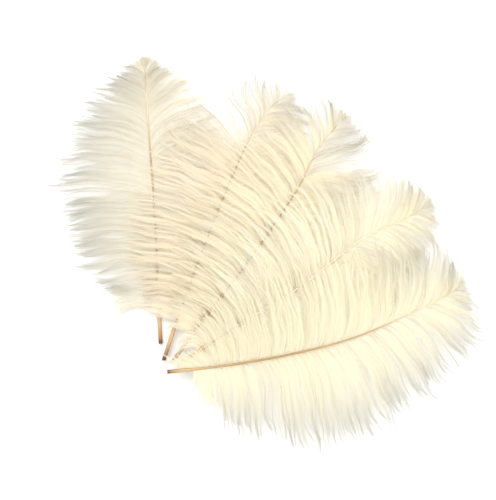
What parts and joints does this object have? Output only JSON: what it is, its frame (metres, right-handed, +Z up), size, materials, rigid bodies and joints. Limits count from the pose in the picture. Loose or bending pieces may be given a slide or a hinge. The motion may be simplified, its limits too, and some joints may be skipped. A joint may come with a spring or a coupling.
{
  "type": "fan of ostrich plumes",
  "caption": "Hand of loose ivory ostrich plumes laid out as a fan, each over the next, that turns open and closed about the crossed quill ends.",
  "frame": {"origin": "middle of the bounding box, on the surface that the fan lies on", "axes": "+Z up from the table, +X and +Y in the table, with the quill ends at the low X, low Y side and the lowest plume pointing along +Y"},
  "size_m": [0.3784, 0.3536, 0.0197],
  "materials": {
    "quill": "satin",
    "pulp_cap": "matte",
    "shaft": "satin",
    "vane": "matte",
    "down": "matte"
  },
  "bodies": {
    "plume_1": {"plume_1_quill": "quill", "plume_1_pulp_cap": "pulp_cap", "plume_1_shaft": "shaft", "plume_1_left_down": "down", "plume_1_right_down": "down", "plume_1_left_vane": "vane", "plume_1_right_vane": "vane", "plume_1_tip_tuft": "vane"},
    "plume_2": {"plume_2_quill": "quill", "plume_2_pulp_cap": "pulp_cap", "plume_2_shaft": "shaft", "plume_2_left_down": "down", "plume_2_right_down": "down", "plume_2_left_vane": "vane", "plume_2_right_vane": "vane", "plume_2_tip_tuft": "vane"},
    "plume_3": {"plume_3_quill": "quill", "plume_3_pulp_cap": "pulp_cap", "plume_3_shaft": "shaft", "plume_3_left_down": "down", "plume_3_right_down": "down", "plume_3_left_vane": "vane", "plume_3_right_vane": "vane", "plume_3_tip_tuft": "vane"},
    "plume_4": {"plume_4_quill": "quill", "plume_4_pulp_cap": "pulp_cap", "plume_4_shaft": "shaft", "plume_4_left_down": "down", "plume_4_right_down": "down", "plume_4_left_vane": "vane", "plume_4_right_vane": "vane", "plume_4_tip_tuft": "vane"},
    "plume_5": {"plume_5_quill": "quill", "plume_5_pulp_cap": "pulp_cap", "plume_5_shaft": "shaft", "plume_5_left_down": "down", "plume_5_right_down": "down", "plume_5_left_vane": "vane", "plume_5_right_vane": "vane", "plume_5_tip_tuft": "vane"}
  },
  "joints": [
    {"name": "fan_1_2", "type": "hinge", "parent": "plume_1", "child": "plume_2", "pos_m": [-0.09753, -0.11347, 0], "axis": [0, 0, 1], "range_deg": [-8, 10]},
    {"name": "fan_2_3", "type": "hinge", "parent": "plume_2", "child": "plume_3", "pos_m": [-0.09753, -0.11347, 0], "axis": [0, 0, 1], "range_deg": [-8, 8]},
    {"name": "fan_3_4", "type": "hinge", "parent": "plume_3", "child": "plume_4", "pos_m": [-0.09753, -0.11347, 0], "axis": [0, 0, 1], "range_deg": [-8, 10]},
    {"name": "fan_4_5", "type": "hinge", "parent": "plume_4", "child": "plume_5", "pos_m": [-0.09753, -0.11347, 0], "axis": [0, 0, 1], "range_deg": [-8, 10]}
  ]
}
